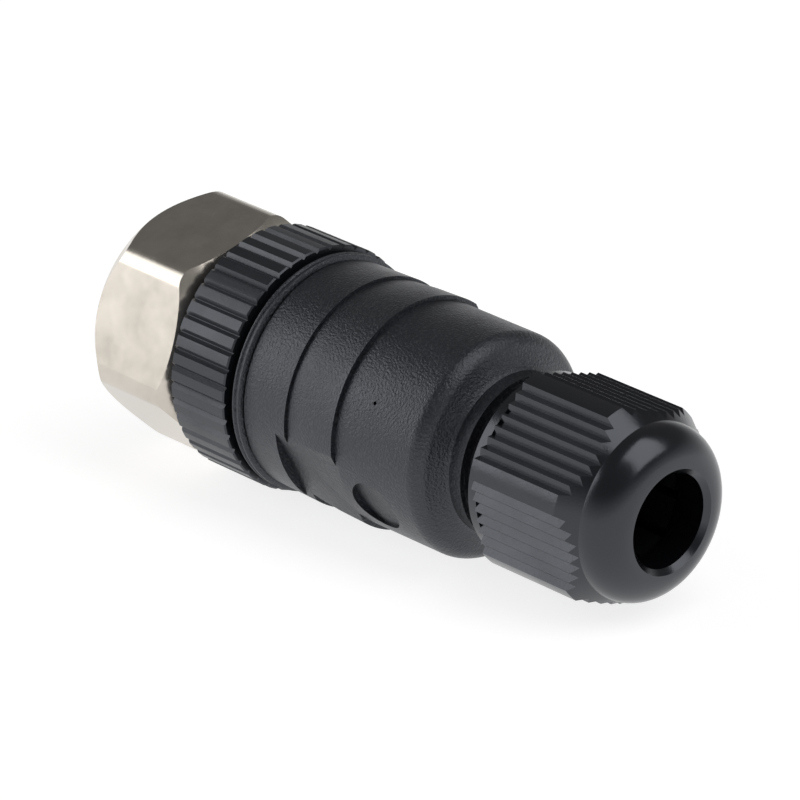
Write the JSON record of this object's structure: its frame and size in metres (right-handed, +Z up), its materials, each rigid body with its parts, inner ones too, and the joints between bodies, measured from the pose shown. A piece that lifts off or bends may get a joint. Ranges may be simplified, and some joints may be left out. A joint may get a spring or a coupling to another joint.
{
  "type": "m12 cable connector",
  "caption": "Straight M12 female cable connector: hexagonal coupling nut, knurled ring, sleeve with spanner flats over screw terminals, and a cable gland nut.",
  "frame": {"origin": "on the axis, in the plane of the coupling nut's front rim", "axes": "+X along the axis from the mating face to the cable end; +Z up as it lies on its side, and the coding groove of the insert points along +Z; +Y to the side"},
  "size_m": [0.0541, 0.02, 0.02],
  "materials": {
    "nickel": "nickel-plated brass, satin",
    "spring_bronze": "spring bronze, plain",
    "insert": "black glass-filled polyamide",
    "contact": "gold-plated brass",
    "steel": "zinc-plated steel",
    "gloss_black": "black polyamide, semi-gloss moulded skin",
    "grained_black": "black polyamide, fine spark-eroded grain",
    "rubber": "black nitrile rubber",
    "cage": "black polyamide"
  },
  "bodies": {
    "carrier": {"carrier_ring": "gloss_black", "socket_insert": "insert", "terminal_carrier": "insert", "nut_retainer": "spring_bronze", "sleeve_seal": "rubber", "contact_1": "contact", "contact_2": "contact", "contact_3": "contact", "contact_4": "contact"},
    "coupling": {"coupling_nut": "nickel"},
    "guard_1": {"wire_guard_1": "steel"},
    "screw_1": {"terminal_screw_1": "steel"},
    "guard_2": {"wire_guard_2": "steel"},
    "screw_2": {"terminal_screw_2": "steel"},
    "guard_3": {"wire_guard_3": "steel"},
    "screw_3": {"terminal_screw_3": "steel"},
    "guard_4": {"wire_guard_4": "steel"},
    "screw_4": {"terminal_screw_4": "steel"},
    "seal": {"gland_seal": "rubber"},
    "sleeve": {"housing_sleeve": "grained_black"},
    "cage": {"clamp_cage": "cage"},
    "pressing": {"pressing_nut": "gloss_black"}
  },
  "joints": [
    {"name": "coupling_turn", "type": "hinge", "parent": "carrier", "child": "coupling", "pos_m": [0.005, 0, 0], "axis": [1, 0, 0], "continuous": true},
    {"name": "guard_1_slide", "type": "slide", "parent": "carrier", "child": "guard_1", "axis": [0, 0.7071, 0.7071], "range_m": [-0.0007, 0]},
    {"name": "screw_1_turn", "type": "hinge", "parent": "guard_1", "child": "screw_1", "pos_m": [0.0222, 0.00262, 0.00262], "axis": [0, 0.7071, 0.7071], "range_deg": [-722, 0]},
    {"name": "guard_2_slide", "type": "slide", "parent": "carrier", "child": "guard_2", "axis": [0, -0.7071, 0.7071], "range_m": [-0.0007, 0]},
    {"name": "screw_2_turn", "type": "hinge", "parent": "guard_2", "child": "screw_2", "pos_m": [0.0222, -0.00262, 0.00262], "axis": [0, -0.7071, 0.7071], "range_deg": [-722, 0]},
    {"name": "guard_3_slide", "type": "slide", "parent": "carrier", "child": "guard_3", "axis": [0, -0.7071, -0.7071], "range_m": [-0.0007, 0]},
    {"name": "screw_3_turn", "type": "hinge", "parent": "guard_3", "child": "screw_3", "pos_m": [0.0222, -0.00262, -0.00262], "axis": [0, -0.7071, -0.7071], "range_deg": [-722, 0]},
    {"name": "guard_4_slide", "type": "slide", "parent": "carrier", "child": "guard_4", "axis": [0, 0.7071, -0.7071], "range_m": [-0.0007, 0]},
    {"name": "screw_4_turn", "type": "hinge", "parent": "guard_4", "child": "screw_4", "pos_m": [0.0222, 0.00262, -0.00262], "axis": [0, 0.7071, -0.7071], "range_deg": [-722, 0]},
    {"name": "seal_slide", "type": "slide", "parent": "carrier", "child": "seal", "axis": [1, 0, 0], "range_m": [0, 0.005]},
    {"name": "sleeve_turn", "type": "hinge", "parent": "seal", "child": "sleeve", "pos_m": [0.02, 0, 0], "axis": [1, 0, 0], "range_deg": [0, 1803]},
    {"name": "cage_slide", "type": "slide", "parent": "sleeve", "child": "cage", "axis": [1, 0, 0], "range_m": [-0.0006, 0.003]},
    {"name": "pressing_turn", "type": "hinge", "parent": "cage", "child": "pressing", "pos_m": [0.045, 0, 0], "axis": [1, 0, 0], "range_deg": [-217, 1082]}
  ],
  "couplings": [
    {"joint": "screw_1_turn", "follows": "guard_1_slide", "rad_per_m": 17952},
    {"joint": "screw_2_turn", "follows": "guard_2_slide", "rad_per_m": 17952},
    {"joint": "screw_3_turn", "follows": "guard_3_slide", "rad_per_m": 17952},
    {"joint": "screw_4_turn", "follows": "guard_4_slide", "rad_per_m": 17952},
    {"joint": "sleeve_turn", "follows": "seal_slide", "rad_per_m": 6283.2},
    {"joint": "pressing_turn", "follows": "cage_slide", "rad_per_m": 6283.2}
  ]
}
